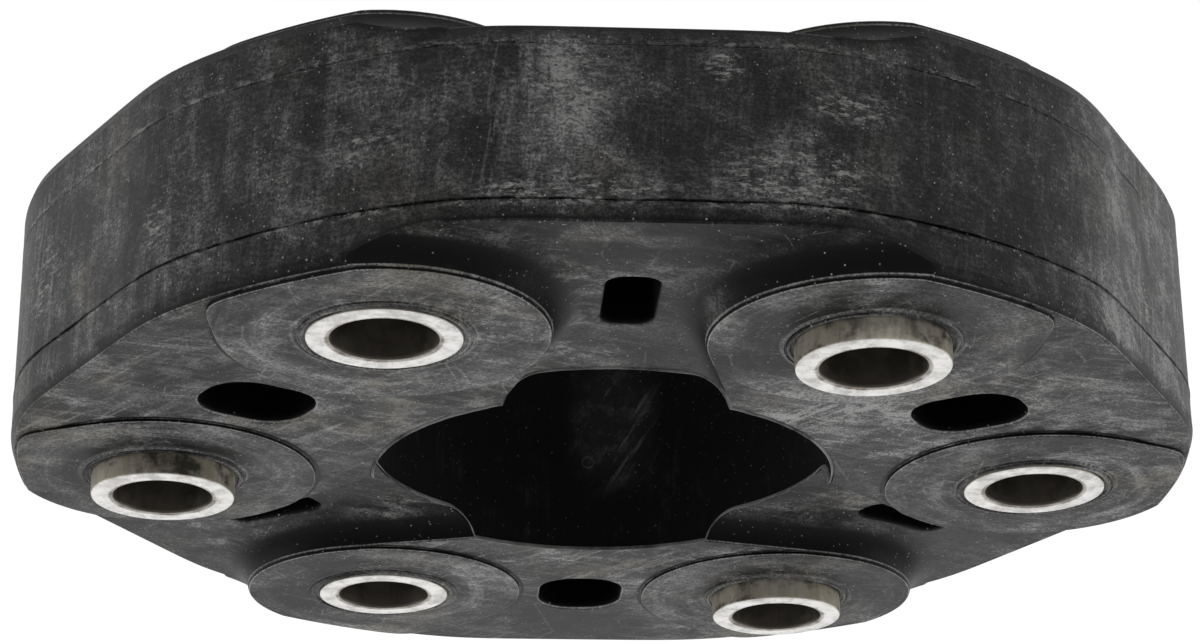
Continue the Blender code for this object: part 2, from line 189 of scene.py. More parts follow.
class CouplingFinish(bpy.types.PropertyGroup):
    """Colours of the finishes, before dust, scuffs and stains."""

    rubber: tint("Rubber", "Colour of clean rubber", (0.0085, 0.0088, 0.0092))
    # The dust colour also paints the sheen band on the rim, the highlights along edges and the flash's
    # highlight.
    dust: tint("Dust", "Colour of dust and scuffs on the rubber", (0.49, 0.49, 0.485))
    speck: tint("Specks", "Colour of small pale specks on the rubber", (0.58, 0.575, 0.56))
    steel: tint("Steel", "Colour of turned steel", (0.86, 0.85, 0.83))
    stain: tint("Stain", "Colour of the brown film on a sleeve's side", (0.46, 0.415, 0.32))
    cord: tint("Cord", "Colour of the wound cord", (0.62, 0.56, 0.42))


class CouplingStudio(bpy.types.PropertyGroup):
    """Strengths of the lamps."""

    back_power: watts("Back lamp", "Strength of the lamp behind the disc", 3.6)
    top_power: watts("Top lamp", "Strength of the lamp above", 6.5)
    side_power: watts("Side lamp", "Strength of the two lamps at the sides", 0.9)
    world_level: FloatProperty(
        name="World level", description="Level of the plain light from all round", default=0.26)


def turn(angle):
    """The turn about the shaft's axis by an angle in degrees."""
    return Matrix.Rotation(math.radians(angle), 4, "Z")


def web_turn(index):
    """The turn that takes a shape on +X to a web."""
    return turn(SECTOR * (2 * index + 0.5))


def link_turn(index):
    """The turn that takes a shape on +X to a link."""
    return turn(SECTOR * (2 * index + 1.5))


def arc(centre, radius, start, end, steps):
    """Points of an arc, both ends included, with its angles in degrees."""
    angles = [math.radians(start + (end - start) * step / steps) for step in range(steps + 1)]
    return [(centre[0] + radius * math.cos(a), centre[1] + radius * math.sin(a)) for a in angles]


def straight(start, end, steps):
    """Points between two ends, both left out."""
    run_x, run_y = end[0] - start[0], end[1] - start[1]
    return [(start[0] + run_x * step / steps, start[1] + run_y * step / steps)
            for step in range(1, steps)]


def loft(rings, closed=False):
    """A shell that grows from ring to ring of points: its ends are filled, or joined if it is closed."""
    shape = bmesh.new()
    first = [shape.verts.new(point) for point in rings[0]]
    edges = [shape.edges.new((first[i - 1], first[i])) for i in range(len(first))]
    loop = first
    for ring in rings[1:] + (rings[:1] if closed else []):
        grown = bmesh.ops.extrude_edge_only(shape, edges=edges)["geom"]
        fresh = {item for item in grown if isinstance(item, bmesh.types.BMVert)}
        edges = [item for item in grown if isinstance(item, bmesh.types.BMEdge)
                 and item.verts[0] in fresh and item.verts[1] in fresh]
        pairs = [next(other for other in (edge.other_vert(vert) for edge in vert.link_edges)
                      if other in fresh) for vert in loop]
        for vert, point in zip(pairs, ring):
            vert.co = point
        loop = pairs
    if closed:
        bmesh.ops.remove_doubles(shape, verts=first + loop, dist=1e-7)
    else:
        shape.faces.new(first)
        shape.faces.new(loop)
    bmesh.ops.recalc_face_normals(shape, faces=shape.faces)
    return shape


def level(outline, height):
    """A flat outline raised to a height."""
    return [(x, y, height) for x, y in outline]


def spun(profile, facets, reach=0.0):
    """A ring spun about an upright axis at a reach from the shaft, from a closed profile."""
    shape = bmesh.new()
    loop = [shape.verts.new((reach + x, 0.0, z)) for x, z in profile]
    edges = [shape.edges.new((loop[i - 1], loop[i])) for i in range(len(loop))]
    bmesh.ops.spin(shape, geom=loop + edges, cent=(reach, 0.0, 0.0), axis=(0.0, 0.0, 1.0),
                   angle=math.tau, steps=facets, use_merge=True)
    bmesh.ops.remove_doubles(shape, verts=shape.verts, dist=1e-7)
    bmesh.ops.recalc_face_normals(shape, faces=shape.faces)
    return shape


def drum(radius, low, high, facets, reach=0.0):
    """A plain round block between two heights."""
    shape = bmesh.new()
    bmesh.ops.create_cone(shape, cap_ends=True, segments=facets, radius1=radius, radius2=radius,
                          depth=high - low)
    bmesh.ops.translate(shape, verts=shape.verts, vec=(reach, 0.0, (low + high) / 2))
    return shape


def mesh_of(shape, name):
    """Turn a bmesh into a mesh."""
    mesh = bpy.data.meshes.new(name)
    shape.to_mesh(mesh)
    shape.free()
    return mesh


def both_faces(half, outline, name):
    """A mesh lofted through (height, inset) levels and through their mirror images below the middle."""
    heights = [(-height, inset) for height, inset in reversed(half)] + half
    return mesh_of(loft([level(outline(inset), height) for height, inset in heights]), name)


def new_object(name, mesh, matrix=None):
    """An object in the scene, with its place in its mesh."""
    if matrix is not None:
        mesh = mesh.copy()
        mesh.transform(matrix)
        if matrix.determinant() < 0:
            mesh.flip_normals()
    item = bpy.data.objects.new(name, mesh)
    bpy.context.scene.collection.objects.link(item)
    return item


def combine(body, operation, tools):
    """Add or cut a list of (mesh, matrix) tools, enlarged as the body is, and remove the tools."""
    group = bpy.data.collections.new("tools")
    bpy.context.scene.collection.children.link(group)
    items = []
    for index, (mesh, matrix) in enumerate(tools):
        item = bpy.data.objects.new(f"tool_{index}", mesh)
        item.matrix_world = ENLARGE @ matrix
        group.objects.link(item)
        items.append(item)
    step = body.modifiers.new("step", "BOOLEAN")
    step.operation = operation
    step.operand_type = "COLLECTION"
    step.collection = group
    step.solver = "EXACT"
    depsgraph = bpy.context.evaluated_depsgraph_get()
    result = bpy.data.meshes.new_from_object(body.evaluated_get(depsgraph))
    body.modifiers.remove(step)
    body.data = result
    for item in items:
        bpy.data.objects.remove(item, do_unlink=True)
    bpy.data.collections.remove(group)


def finish_piece(item, finish, replaces=None, weighted=True):
    """Shade a piece smooth with its corners kept, dress it, and hang it on the frame."""
    item.data.shade_smooth()
    item.data.set_sharp_from_angle(angle=math.radians(32))
    if weighted:
        normals = item.modifiers.new("face weight", "WEIGHTED_NORMAL")
        normals.keep_sharp = True
        normals.weight = 80
    item.data.materials.clear()
    item.data.materials.append(finish)
    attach(item, "root")
    if replaces:
        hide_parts(replaces)


def rim_outline(inset, shape):
    """The rim seen from above: a round with a flat over every web and every link."""
    step = shape.rim_step
    passes = round(RIM_WEAR / step ** 2)
    radius = OUTER + shape.rim_swell - inset + passes * step ** 2 / (4 * OUTER)
    curve_steps = round(OUTER * math.radians(RIM_CURVE) / step)
    points = []
    for index in range(SLEEVES):
        middle = SECTOR * (index + 0.5)
        depths = [WEB_FLAT + shape.rim_swell, LINK_FLAT + shape.rim_swell]
        if index % 2:
            depths.reverse()
        half, other = [math.degrees(math.acos(1 - depth / radius)) for depth in depths]
        curve = arc((0.0, 0.0), radius, middle + half, middle + SECTOR - other, curve_steps)
        flat_steps = round(OUTER * 2 * math.sqrt(2 * depths[1] / OUTER) / step)
        ahead = math.radians(middle + SECTOR + other)
        points += curve
        points += straight(curve[-1], (radius * math.cos(ahead), radius * math.sin(ahead)), flat_steps)
    return soften(points, passes)


def soften(points, passes):
    """A closed outline with its corners worn round, by moving each point towards its neighbours."""
    for _ in range(passes):
        count = len(points)
        points = [((points[i - 1][0] + 2 * points[i][0] + points[(i + 1) % count][0]) / 4,
                   (points[i - 1][1] + 2 * points[i][1] + points[(i + 1) % count][1]) / 4)
                  for i in range(count)]
    return points


def run_to_circle(start, way, radius):
    """Where a straight run from a point meets a circle about the shaft."""
    along = start[0] * way[0] + start[1] * way[1]
    run = math.sqrt(along ** 2 - start[0] ** 2 - start[1] ** 2 + radius ** 2) - along
    return start[0] + run * way[0], start[1] + run * way[1]


def boss_outline(inset, shape, steps=60):
    """The round boss about a sleeve, which runs out straight to just inside the rim."""
    lean = math.radians(BOSS_LEAN)
    points = arc((BOLT_CIRCLE, 0.0), BOSS_RADIUS - inset, BOSS_LEAN, 360 - BOSS_LEAN, steps)
    edge = OUTER + shape.rim_swell - BOSS_MARGIN - inset
    x, y = run_to_circle(points[0], (math.sin(lean), -math.cos(lean)), edge)
    reach = math.degrees(math.atan2(y, x))
    far = arc((0.0, 0.0), edge, -reach, reach, 20)
    points = points + straight(points[-1], far[0], 7) + far + straight(far[-1], points[0], 7)
    return soften(points, 5)


def recess_outline(inset, steps=30):
    """The recess over a web, which runs between two bosses from the rim to the centre hole."""
    side = arc((REACH, SPREAD), RECESS_ROUND + inset, RECESS_END, -RECESS_FLANK, steps)
    lean = math.radians(RECESS_END)
    out_x = side[0][0] - 8 * MM * math.sin(lean)
    out_y = side[0][1] + 8 * MM * math.cos(lean)
    side = [(OUTER + 8 * MM, out_y), (out_x, out_y)] + side
    flank = math.radians(90 - RECESS_FLANK)
    last_x, last_y = side[-1]
    run = (last_x - CENTRE_HOLE + 8 * MM) / math.cos(flank)
    side.append((last_x - run * math.cos(flank), last_y - run * math.sin(flank)))
    return side + [(x, -y) for x, y in reversed(side)]


def long_hole_outline(width, flare, steps=10):
    """A moulded hole with round ends, its length pointing out from the shaft."""
    half_length = HOLE_LENGTH / 2 + flare
    half_width = width / 2 + flare
    corner = half_width - 0.8 * MM
    points = []
    for start, sign_x, sign_y in ((0, 1, 1), (90, -1, 1), (180, -1, -1), (270, 1, -1)):
        middle = (HOLE_CENTRE + sign_x * (half_length - corner), sign_y * (half_width - corner))
        points += arc(middle, corner, start, start + 90, steps)
    return points


def cord_outline(radius, steps=20):
    """The long round of a cord about two neighbouring sleeves."""
    points = arc((REACH, SPREAD), radius, 0, 180, steps)
    return points + arc((REACH, -SPREAD), radius, 180, 360, steps)


def wander(x, y, salt, scale):
    """A smooth value between about -1 and 1 that wanders along the rim."""
    return noise.noise(Vector((x, y, 0.0)) / scale + Vector((0.0, 0.0, salt)))


def rim_rings(face, shape):
    """Rings up the rim of a disc with this face height, from its lower face to its upper one."""
    soft = shape.edge_round
    foot = face - shape.bevel_height
    lean = shape.bevel_width
    half = [(0.0, 0.0, 0.0)]
    for offset, depth in ((-1.7, 0.0), (-1.0, -0.2), (-0.45, 0.12), (0.0, 1.0), (0.45, 0.12),
                          (1.0, -0.1), (1.7, 0.0)):
        half.append((shape.parting_height, offset, depth))
    for height, inset in ((foot - 0.12 * MM, -0.05), (foot, -0.09), (foot + 0.10 * MM, 0.02),
                          (foot + 0.25 * MM, 0.14), (foot + 0.6 * shape.bevel_height, 0.62)):
        half.append((height, None, inset * lean))
    for slope in (15, 40, 65, 90):
        angle = math.radians(slope)
        half.append((face - soft * (1 - math.sin(angle)), None, lean + soft * (1 - math.cos(angle))))
    rings = []
    for sign in (-1, 1):
        part = half if sign == 1 else list(reversed(half[1:]))
        for height, offset, depth in part:
            if offset is None or height == 0.0:
                rings.append(level(rim_outline(depth, shape), sign * height))
            else:
                rings.append(crack_ring(shape, sign, height, offset, depth))
    return rings


def crack_ring(shape, sign, height, offset, depth):
    """One ring of the ragged crack along a parting line. The lower line's crack is shallower."""
    deep = shape.parting_depth * (1.0 if sign > 0 else LOWER_CRACK)
    ring = []
    for x, y in rim_outline(0.0, shape):
        bend = 0.16 * wander(x, y, 3.0 * sign, 6 * MM) + 0.09 * wander(x, y, 9.0 * sign, 1.8 * MM)
        wide = 0.65 + 0.5 * wander(x, y, 15.0 * sign, 9 * MM)
        cut = 1 - depth * wide * deep / OUTER
        rise = bend * MM + offset * 0.5 * shape.parting_width * wide
        ring.append((x * cut, y * cut, sign * (height + rise)))
    return ring


class COUPLING_OT_rubber(bpy.types.Operator):
    """Make the rubber moulding with its bosses, recessed webs, holes and lips"""

    bl_idname = "coupling.rubber"
    bl_label = "Rubber Moulding"

    def execute(self, context):
        shape = context.scene.coupling_shape
        body = new_object("rubber_moulding", mesh_of(loft(rim_rings(FACE, shape)), "links"))
        body.data.transform(ENLARGE)
        combine(body, "UNION", self.bosses(shape))
        combine(body, "UNION", self.lips(shape))
        combine(body, "DIFFERENCE", self.web_gaps())
        thin = mesh_of(loft(rim_rings(WEB, shape)), "webs")
        just_inside = Matrix.Diagonal((0.99985, 0.99985, 1.0, 1.0))
        thin.transform(just_inside)
        combine(body, "UNION", [(thin, Matrix.Identity(4))])
        combine(body, "DIFFERENCE", self.holes(shape))
        combine(body, "DIFFERENCE", self.inner_rooms())
        body.data.transform(ENLARGE.inverted())
        finish_piece(body, rubber_finish(context), "rubber_body")
        return {"FINISHED"}

    def web_gaps(self):
        """What is cut from the thick disc over each web, with the fillets of its two recesses."""
        upper = []
        steps = 11
        for step in range(steps + 1):
            slope = math.radians(FLANK_SLOPE * step / steps)
            rise = RECESS_FILLET * (1 - math.cos(slope))
            inset = RECESS_FILLET * (1 - math.sin(slope))
            drop = 0.03 * MM if step == 0 else 0.0
            upper.append((WEB + rise - drop, inset))
        for drop, inset in ((0.36, 0.04), (0.2, -0.02), (0.08, -0.12), (0.0, -0.28), (-3.5, -0.5)):
            upper.append((FACE + BOSS_HEIGHT - drop * MM, inset * MM))
        mesh = both_faces(upper, recess_outline, "web_gap")
        return [(mesh, web_turn(index)) for index in range(PAIRS)]

    def bosses(self, shape):
        """The raised rounds about the sleeves, on both faces."""
        soft = shape.boss_round
        top = FACE + BOSS_HEIGHT
        half = [(top - soft * drop, soft * inset)
                for drop, inset in ((1.0, 0.0), (0.5, 0.13), (0.13, 0.5), (0.0, 1.0))]
        mesh = both_faces(half, lambda inset: boss_outline(inset, shape), "boss")
        return [(mesh, turn(SECTOR * index)) for index in range(SLEEVES)]

    def lips(self, shape):
        """The soft sealing lip at both ends of each sleeve."""
        inner = SLEEVE_RADIUS - 0.2 * MM
        outer = SLEEVE_RADIUS + shape.lip_width
        base = FACE + BOSS_HEIGHT
        crest = [(outer + 0.5 * MM, base - 0.35 * MM)]
        for out, rise in ((0.12, 0.05), (0.02, 0.45), (-0.12, 0.5), (-0.24, 0.12), (-0.36, 0.1),
                          (-0.46, 0.75), (-0.6, 1.0), (-0.78, 0.9), (-0.9, 0.35)):
            crest.append((outer + out * MM, base + rise * shape.lip_height))
        crest.append((inner, base + 0.2 * shape.lip_height))
        profile = crest + [(x, -z) for x, z in reversed(crest)]
        mesh = mesh_of(spun(profile, 96, BOLT_CIRCLE), "lip")
        return [(mesh, turn(SECTOR * index)) for index in range(SLEEVES)]

    def long_hole(self, width, face, soft):
        """A cutter for a moulded hole with softly rounded mouths."""
        steps = 6
        half = []
        for step in range(steps + 1):
            slope = math.radians(90 * step / steps)
            half.append((face - soft * (1 - math.sin(slope)), soft * (1 - math.cos(slope))))
        half.append((face + 4 * MM, soft + 0.3 * MM))
        return both_faces(half, lambda flare: long_hole_outline(width, flare), "hole")

    def holes(self, shape):
        """The centre hole, the moulded holes of links and webs, and the sleeves' holes."""
        deep = FACE + 5 * MM
        centre = mesh_of(drum(CENTRE_HOLE, -deep, deep, 180), "centre")
        seat = mesh_of(drum(SLEEVE_RADIUS + 0.04 * MM, -deep, deep, 128, BOLT_CIRCLE), "seat")
        web = self.long_hole(WEB_HOLE_WIDTH, WEB, shape.mouth_round)
        link = self.long_hole(LINK_HOLE_WIDTH, FACE, shape.mouth_round)
        tools = [(centre, Matrix.Identity(4))]
        tools += [(seat, turn(SECTOR * index)) for index in range(SLEEVES)]
        for index in range(PAIRS):
            tools += [(web, web_turn(index)), (link, link_turn(index))]
        return tools

    def loop_room(self, box):
        """The room of a cord loop that lies between a box's lowest and highest points."""
        low, high = box[0].z - GAP, box[1].z + GAP
        room = bmesh.new()
        for radius in (CORD_OUTER + GAP, CORD_INNER - GAP):
            loop = [room.verts.new((x, y, low)) for x, y in cord_outline(radius)]
            for index in range(len(loop)):
                room.edges.new((loop[index - 1], loop[index]))
        flat = bmesh.ops.triangle_fill(room, use_beauty=True, use_dissolve=False, edges=room.edges[:])
        faces = [item for item in flat["geom"] if isinstance(item, bmesh.types.BMFace)]
        raised = bmesh.ops.extrude_face_region(room, geom=faces, use_keep_orig=True)
        moved = [item for item in raised["geom"] if isinstance(item, bmesh.types.BMVert)]
        bmesh.ops.translate(room, verts=moved, vec=(0.0, 0.0, high - low))
        bmesh.ops.recalc_face_normals(room, faces=room.faces)
        return mesh_of(room, "room")

    def inner_rooms(self):
        """The rooms that the cord loops and collars fill inside the rubber."""
        link_room = self.loop_room(LINK_CORD_BOX)
        web_room = self.loop_room(WEB_CORD_BOX)
        collar = mesh_of(drum(COLLAR_OUTER + GAP, COLLAR_BOX[0].z - GAP, COLLAR_BOX[1].z + GAP, 40,
                              BOLT_CIRCLE), "collar_room")
        link_drop, collar_drop = [Matrix.Translation((0.0, 0.0, -(box[0].z + box[1].z)))
                                  for box in (LINK_CORD_BOX, COLLAR_BOX)]
        tools = []
        for index in range(PAIRS):
            place = link_turn(index)
            tools += [(web_room, web_turn(index)), (link_room, place), (link_room, place @ link_drop)]
        for index in range(SLEEVES):
            place = turn(SECTOR * index)
            tools += [(collar, place), (collar, place @ collar_drop)]
        return tools


class COUPLING_OT_sleeves(bpy.types.Operator):
    """Make the six turned steel sleeves with their chamfers"""

    bl_idname = "coupling.sleeves"
    bl_label = "Steel Sleeves"

    def execute(self, context):
        shape = context.scene.coupling_shape
        finish = steel_finish(context)
        cut, bore_cut = shape.sleeve_chamfer, shape.bore_chamfer
        half = [(BORE_RADIUS, bore_cut), (BORE_RADIUS + 0.3 * bore_cut, 0.25 * bore_cut),
                (BORE_RADIUS + bore_cut, 0.0), (SLEEVE_RADIUS - cut, 0.0),
                (SLEEVE_RADIUS - 0.3 * cut, 0.3 * cut), (SLEEVE_RADIUS, cut)]
        profile = [(x, SLEEVE_TOP - drop) for x, drop in half]
        profile += [(x, SLEEVE_BOTTOM + drop) for x, drop in reversed(half)]
        mesh = mesh_of(spun(profile, shape.sleeve_facets, BOLT_CIRCLE), "sleeve")
        for index in range(SLEEVES):
            flip = Matrix.Rotation(math.pi * (index % 2), 4, "X")
            item = new_object(f"turned_sleeve_{index + 1}", mesh, turn(SECTOR * index) @ flip)
            finish_piece(item, finish, f"sleeve_{index + 1}")
        return {"FINISHED"}


class COUPLING_OT_flash(bpy.types.Operator):
    """Make the thin flash that the mould left round the centre hole"""

    bl_idname = "coupling.flash"
    bl_label = "Centre Flash"

    def execute(self, context):
        shape = context.scene.coupling_shape
        finish = flash_finish(context)
        for name, side in (("centre_flash_top", 1), ("centre_flash_bottom", -1)):
            item = new_object(name, self.ribbon(shape, side))
            finish_piece(item, finish, weighted=False)
        item = new_object("gate_mark", self.gate_mark())
        finish_piece(item, rubber_finish(context), weighted=False)
        return {"FINISHED"}

    def gate_mark(self):
        """The round mark with a raised rim where the rubber entered, on the centre hole's wall."""
        profile = [(0.0, 0.02), (0.28, 0.05), (0.42, -0.06), (0.55, -0.04), (0.66, 0.14), (0.8, 0.2),
                   (0.93, 0.12), (1.02, -0.15), (1.0, -0.6), (0.0, -0.6)]
        shape = spun([(x * MM + 1e-6, z * MM) for x, z in profile], 40)
        face_in = Matrix.Rotation(math.radians(90), 4, "X")
        place = Matrix.Translation((0.0, CENTRE_HOLE - 0.02 * MM, GATE_HEIGHT)) @ face_in
        bmesh.ops.transform(shape, matrix=place, verts=shape.verts)
        return mesh_of(shape, "gate_mark")

    def surface_height(self, angle):
        """Height of the moulding beside the centre hole at an angle in degrees."""
        from_web = (angle + SECTOR / 2) % (2 * SECTOR) - SECTOR
        across = CENTRE_HOLE * math.sin(math.radians(abs(from_web)))
        flank = math.radians(RECESS_FLANK - 90)
        inset = min(max((FLANK_AT_HOLE - across) * math.cos(flank), 0.0), RECESS_FILLET)
        if inset <= 0.0:
            return FACE
        rise = RECESS_FILLET * (1 - math.sqrt(max(0.0, 1 - (1 - inset / RECESS_FILLET) ** 2)))
        return min(FACE, WEB + rise)

    def ribbon(self, shape, side):
        """A thin strip that stands up along the hole's edge. Its crest has None for its drop."""
        section = [(29.5, -0.55), (29.3, -0.34), (29.12, -0.12), (29.05, None), (29.12, None),
                   (29.2, -0.12), (29.5, -0.22)]
        loops = []
        for radius, drop in section:
            ring = []
            for angle in range(360):
                height = self.surface_height(angle)
                x, y = math.cos(math.radians(angle)), math.sin(math.radians(angle))
                wave = wander(x, y, 5.0 * side, 0.11)
                fray = wander(x, y, 11.0 * side, 0.03)
                rise = shape.flash_height * (1.0 + 0.7 * wave + 0.35 * fray) if drop is None else drop * MM
                reach = (radius + (0.08 * wave if radius < 29.15 else 0.0)) * MM
                ring.append((reach * x, reach * y, side * (height + rise)))
            loops.append(ring)
        return mesh_of(loft(loops, closed=True), "ribbon")


class COUPLING_OT_inner_parts(bpy.types.Operator):
    """Dress the cord loops and steel collars inside the rubber"""

    bl_idname = "coupling.inner_parts"
    bl_label = "Cords and Collars"

    def execute(self, context):
        finishes = {"cord": cord_finish(context), "collar": collar_finish(context)}
        for name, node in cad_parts.items():
            for kind, finish in finishes.items():
                if kind in name:
                    node.data.materials.clear()
                    node.data.materials.append(finish)
        return {"FINISHED"}


class Flow:
    """A shader socket. Arithmetic on it adds Math nodes."""

    def __init__(self, finish, socket):
        self.finish = finish
        self.socket = socket

    def math(self, operation, *values):
        """This socket and other values through one Math node."""
        return self.finish.node("ShaderNodeMath", {"operation": operation},
                                dict(enumerate((self,) + values)))

    def __add__(self, other):
        return self.math("ADD", other)

    def __sub__(self, other):
        return self.math("SUBTRACT", other)

    def __rsub__(self, other):
        return self.finish.node("ShaderNodeMath", {"operation": "SUBTRACT"}, {0: other, 1: self})

    def __mul__(self, other):
        return self.math("MULTIPLY", other)

    def __truediv__(self, other):
        return self.math("DIVIDE", other)

    __radd__ = __add__
    __rmul__ = __mul__

    def clamp(self):
        """Held between 0 and 1."""
        return self.finish.node("ShaderNodeClamp", {}, {"Value": self})

    def ramp(self, low, high):
        """0 below low and 1 above high, with a soft change between them."""
        return self.finish.node("ShaderNodeMapRange", {"interpolation_type": "SMOOTHSTEP"},
                                {"Value": self, "From Min": low, "From Max": high})

    def near(self, middle, width):
        """1 at a value and 0 beyond a width to either side."""
        return 1 - (self - middle).math("ABSOLUTE").ramp(0.0, width)


class Finish:
    """A material in the making: one shader and the nodes that feed it."""

    def __init__(self, name):
        self.material = bpy.data.materials.new(name)
        self.material.use_nodes = True
        self.tree = self.material.node_tree
        self.shader = self.tree.nodes["Principled BSDF"]
        place = self.node("ShaderNodeTexCoord", {}, {}, "Object")
        self.mm = self.node("ShaderNodeVectorMath", {"operation": "SCALE"}, {0: place, "Scale": 1 / MM})
        self.x, self.y, self.z = [self.node("ShaderNodeSeparateXYZ", {}, {0: self.mm}, axis)
                                  for axis in "XYZ"]

    def node(self, kind, settings, values, output=0):
        """Add a node, set its settings, then feed its sockets, and give back one output."""
        node = self.tree.nodes.new(kind)
        for key, value in settings.items():
            setattr(node, key, value)
        for key, value in values.items():
            self.feed(node.inputs[key], value)
        return Flow(self, node.outputs[output])

    def feed(self, socket, value):
        """Link a flow to a socket, or set a plain value on it."""
        if isinstance(value, Flow):
            self.tree.links.new(value.socket, socket)
        elif hasattr(socket.default_value, "__len__") and len(socket.default_value) == 4:
            socket.default_value = (*tuple(value)[:3], 1.0)
        else:
            socket.default_value = value

    def point(self, x, y, z):
        """A place made of three values."""
        return self.node("ShaderNodeCombineXYZ", {}, {0: x, 1: y, 2: z})

    def mix(self, factor, first, second):
        """Mix two colours."""
        return self.node("ShaderNodeMix", {"data_type": "RGBA"}, {0: factor, 6: first, 7: second}, 2)

    def mapped(self, place, shift, stretch):
        """A place that is stretched and then shifted."""
        return self.node("ShaderNodeMapping", {"vector_type": "POINT"}, {
            "Vector": place, "Location": shift, "Scale": stretch})

    def veil(self, low, high, *values, **settings):
        """Patches of noise that fade in between two levels of it."""
        return self.noise(*values, **settings).ramp(low, high)

    def noise(self, size, detail, roughness, place=None, stretch=(1.0, 1.0, 1.0), turned=0.0, shift=0.0):
        """Noise with features about this size in millimetres, as values from 0 to 1."""
        place = place or self.mm
        if turned:
            place = self.node("ShaderNodeVectorRotate", {"rotation_type": "Z_AXIS"}, {
                "Vector": place, "Angle": math.radians(turned)})
        place = self.mapped(place, (shift, shift, shift), stretch)
        return self.node("ShaderNodeTexNoise", {"noise_dimensions": "3D"}, {
            "Vector": place, "Scale": 1.0 / size, "Detail": detail, "Roughness": roughness})

    def specks(self, spacing, size):
        """Small dots, about one in each cell of this spacing in millimetres."""
        spot = self.node("ShaderNodeTexVoronoi", {"voronoi_dimensions": "3D", "feature": "F1"}, {
            "Vector": self.mm, "Scale": 1.0 / spacing, "Randomness": 1.0}, "Distance")
        return 1 - spot.ramp(size * 0.7, size)

    def scratches(self, spacing, width, shift):
        """Broken hairlines in all directions."""
        place = self.mapped(self.mm, (shift, shift, 0.0), (1.0, 1.0, 0.05))
        edges = {"voronoi_dimensions": "3D", "feature": "DISTANCE_TO_EDGE"}
        line = self.node("ShaderNodeTexVoronoi", edges, {
            "Vector": place, "Scale": 1.0 / spacing, "Randomness": 1.0})
        broken = self.veil(0.5, 0.62, spacing * 0.45, 2.0, 0.7, shift=shift + 5.0)
        return (1 - line.ramp(0.0, width)) * broken

    def bump(self, height, strength, distance):
        """A normal that follows a height, with the relief's depth in metres."""
        return self.node("ShaderNodeBump", {}, {
            "Height": height, "Strength": strength, "Distance": distance})

    def set(self, **values):
        """Feed the shader's sockets, with spaces in their names written as underscores."""
        for key, value in values.items():
            self.feed(self.shader.inputs[key.replace("_", " ")], value)


def polar(finish):
    """Distance from the shaft in millimetres, and angle about it in radians."""
    return (finish.x * finish.x + finish.y * finish.y).math("SQRT"), finish.y.math("ARCTAN2", finish.x)


def sector_place(radius, angle, shift):
    """Place along and across a sector of the disc, whose middle is shifted by part of a sector."""
    turns = (angle / math.radians(SECTOR) - shift).math("ROUND") + shift
    local = angle - turns * math.radians(SECTOR)
    return radius * local.math("COSINE"), radius * local.math("SINE")


def sleeve_place(radius, angle):
    """Distance from the nearest sleeve's axis in millimetres, and angle about it in radians."""
    x, y = sector_place(radius, angle, 0.0)
    x = x - BOLT_CIRCLE / MM
    return (x * x + y * y).math("SQRT"), y.math("ARCTAN2", x)


